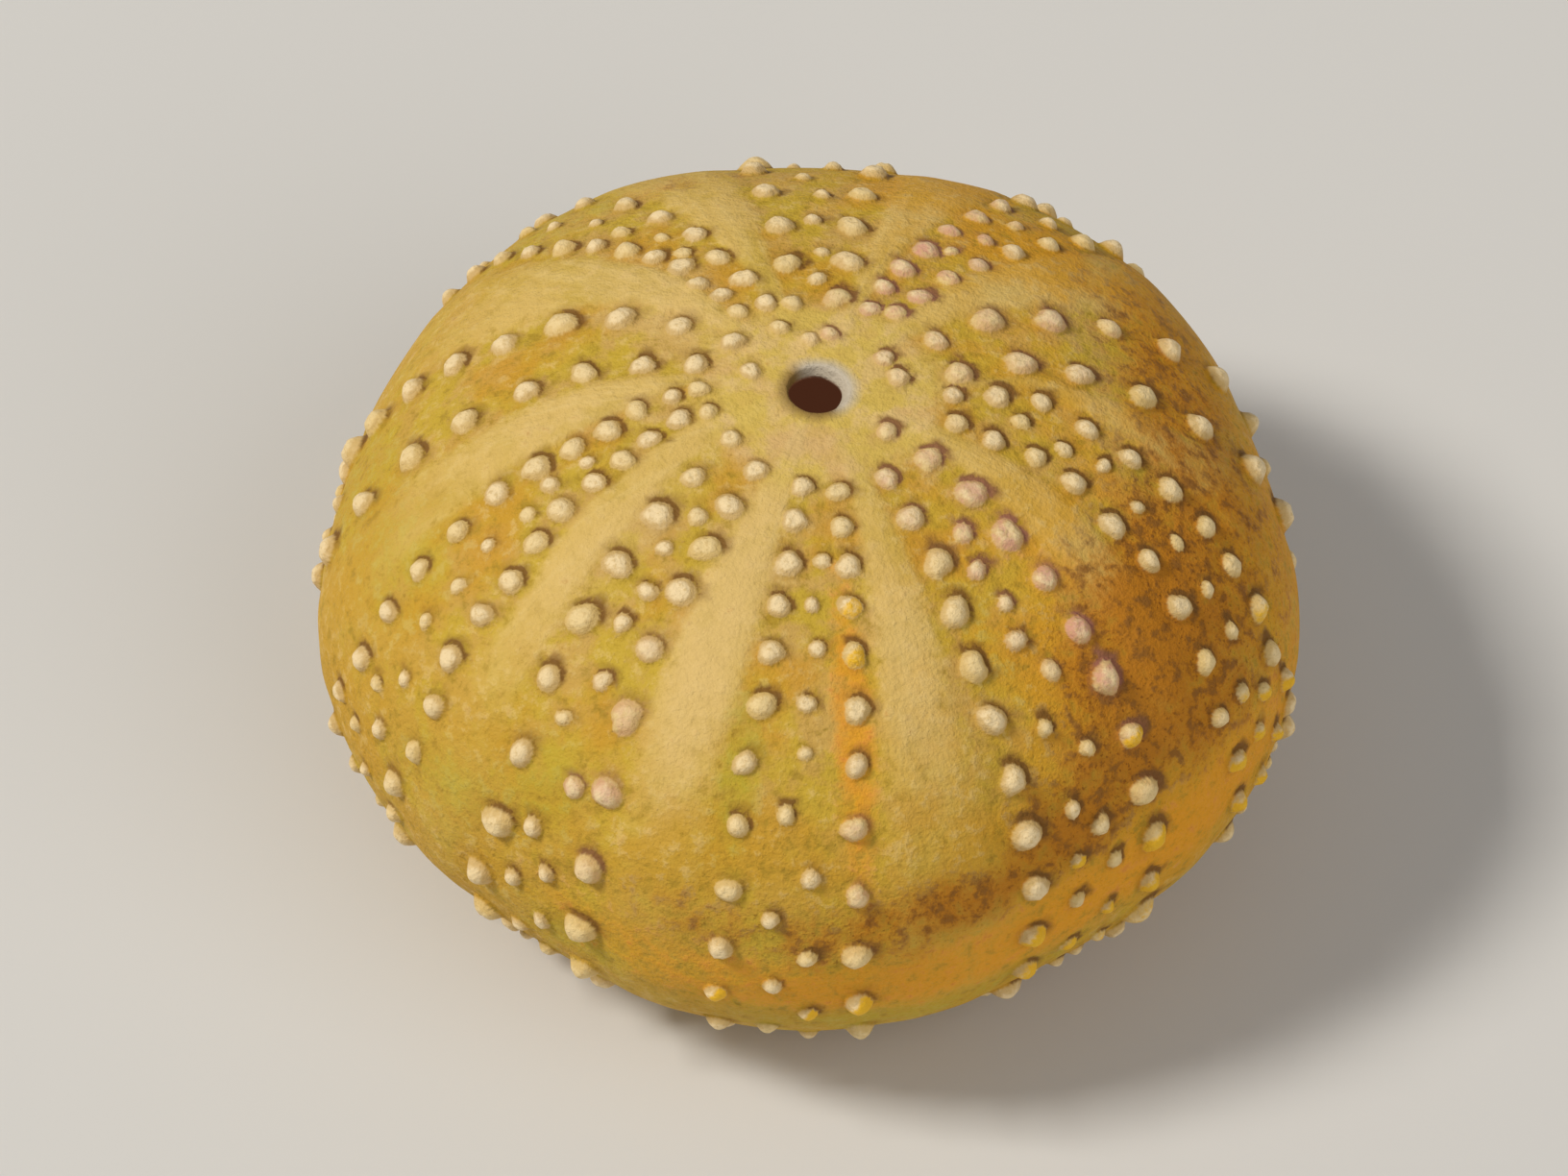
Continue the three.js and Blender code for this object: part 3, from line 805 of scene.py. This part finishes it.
def shell_material():
    g = Graph("chalky_shell")
    place = g.nodes.new("ShaderNodeTexCoord").outputs["Object"]
    patches = g.noise(place, 7 * MM, detail=4, roughness=0.6)
    mottle = g.noise(place, 3 * MM, detail=5, roughness=0.65)
    clouds = g.noise(place, 1.1 * MM, detail=4, roughness=0.65)
    grain = g.noise(place, 0.3 * MM, detail=2)
    streaks = g.noise(g.attribute("meridian", "Vector"), 1.0, detail=3, roughness=0.6)

    colour = body_colour(g, clouds, patches, mottle, grain, streaks)
    # Dark crescents round the knobs: a faint ring of pigment, mostly painted shade on each knob's shaded
    # side.
    halo_pigment_and_shade = g.times(g.attribute("halo_pigment_and_shade"), g.ramp(clouds, 0.25, 0.55))
    halo_pigment_and_shade_colour = g.mix(g.attribute("pink"), HALO_PIGMENT_AND_SHADE, MAUVE)
    colour = g.mix(g.math("MINIMUM", g.times(halo_pigment_and_shade, 2.2), 0.92), colour, halo_pigment_and_shade_colour)
    colour = g.mix(g.ragged(g.attribute("knob"), clouds, 0.5), colour, knob_colour(g, clouds, grain))
    # The opening's rim and throat: painted light on the side facing the key light, painted shade on the
    # other.
    rim = g.mix(g.attribute("rim_light"), RIM_SHADED, RIM_LIT)
    colour = g.mix(g.attribute("inside"), colour, INSIDE_AND_GLOW)
    colour = g.mix(g.attribute("rim"), colour, rim)
    g.feed(colour, g.shader.inputs["Base Color"])

    roughness = g.math("SUBTRACT", g.ramp(grain, 0.3, 0.7, 0.2), g.times(g.attribute("knob"), 0.2))
    g.feed(g.math("ADD", roughness, 0.55), g.shader.inputs["Roughness"])
    g.shader.inputs["Specular IOR Level"].default_value = 0.12

    # Painted light: a faint warm glow over the inside, standing for light that comes through the thin wall.
    glow = g.times(g.attribute("inside"), g.math("SUBTRACT", 1.0, g.attribute("rim")))
    g.feed(g.mix(glow, BLACK, INSIDE_AND_GLOW), g.shader.inputs["Emission Color"])
    g.shader.inputs["Emission Strength"].default_value = 0.14

    relief = g.math("ADD", g.times(grain, 0.45), clouds)
    relief = g.math("ADD", relief, g.times(streaks, g.attribute("band"), 0.4))
    bump = g.nodes.new("ShaderNodeBump")
    bump.inputs["Strength"].default_value = 0.8
    bump.inputs["Distance"].default_value = 0.3 * MM
    g.feed(relief, bump.inputs["Height"])
    g.feed(bump.outputs["Normal"], g.shader.inputs["Normal"])
    return g.material


# ---------------------------------------------------------------- stage
def build_stage():
    floor_mesh = bpy.data.meshes.new("floor")
    reach = 3.0
    corners = [(-reach, -reach, 0), (reach, -reach, 0), (reach, reach, 0), (-reach, reach, 0)]
    floor_mesh.from_pydata(corners, [], [(0, 1, 2, 3)])
    floor = bpy.data.objects.new("floor", floor_mesh)
    bpy.context.collection.objects.link(floor)
    material = bpy.data.materials.new("pale_floor")
    material.use_nodes = True
    shader = material.node_tree.nodes["Principled BSDF"]
    shader.inputs["Base Color"].default_value = (0.70, 0.69, 0.67, 1)
    shader.inputs["Roughness"].default_value = 0.8
    floor_mesh.materials.append(material)


def add_light(name, size, power, azimuth, elevation, distance, colour):
    data = bpy.data.lights.new(name, "AREA")
    data.size = size
    data.energy = power
    data.color = colour
    light = bpy.data.objects.new(name, data)
    bpy.context.collection.objects.link(light)
    a, e = math.radians(azimuth), math.radians(elevation)
    place = Vector((math.cos(a) * math.cos(e), math.sin(a) * math.cos(e), math.sin(e))) * distance
    light.location = place
    light.rotation_euler = (-place).to_track_quat("-Z", "Y").to_euler()


def build_lights():
    add_light("key", 0.56, 42, 185, 48, 2.4, (1.0, 0.96, 0.89))
    add_light("fill", 2.4, 22, 320, 38, 2.7, (1.0, 0.98, 0.94))
    world = bpy.data.worlds.new("studio")
    world.use_nodes = True
    background = world.node_tree.nodes["Background"]
    background.inputs["Color"].default_value = (0.95, 0.95, 0.95, 1)
    background.inputs["Strength"].default_value = 0.22
    bpy.context.scene.world = world
    bpy.context.scene.view_settings.view_transform = "Standard"


CAMERA_ELEVATION = 51.4
CAMERA_DISTANCE = 450
CAMERA_ROLL = 2.15
LENS = 152.2
FRAMING = (-1.51, -1.45)  # how far right of and above the shell's middle the camera looks, in mm


def build_camera():
    data = bpy.data.cameras.new("camera")
    data.lens = LENS
    data.sensor_width = 36
    data.clip_start = 0.01
    camera = bpy.data.objects.new("camera", data)
    bpy.context.collection.objects.link(camera)
    e = math.radians(CAMERA_ELEVATION)
    forward = Vector((0, math.cos(e), -math.sin(e)))
    roll = Matrix.Rotation(math.radians(CAMERA_ROLL), 3, "Z")
    turned = forward.to_track_quat("-Z", "Y").to_matrix() @ roll
    target = Vector((0, 0, HEIGHT / 2)) + turned @ Vector((*FRAMING, 0))
    camera.matrix_world = Matrix.Translation((target - forward * CAMERA_DISTANCE) * MM) @ turned.to_4x4()
    bpy.context.scene.camera = camera


build_camera()
shell = build_shell()
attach(shell, "root")
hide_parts(NODE)
build_stage()
build_lights()
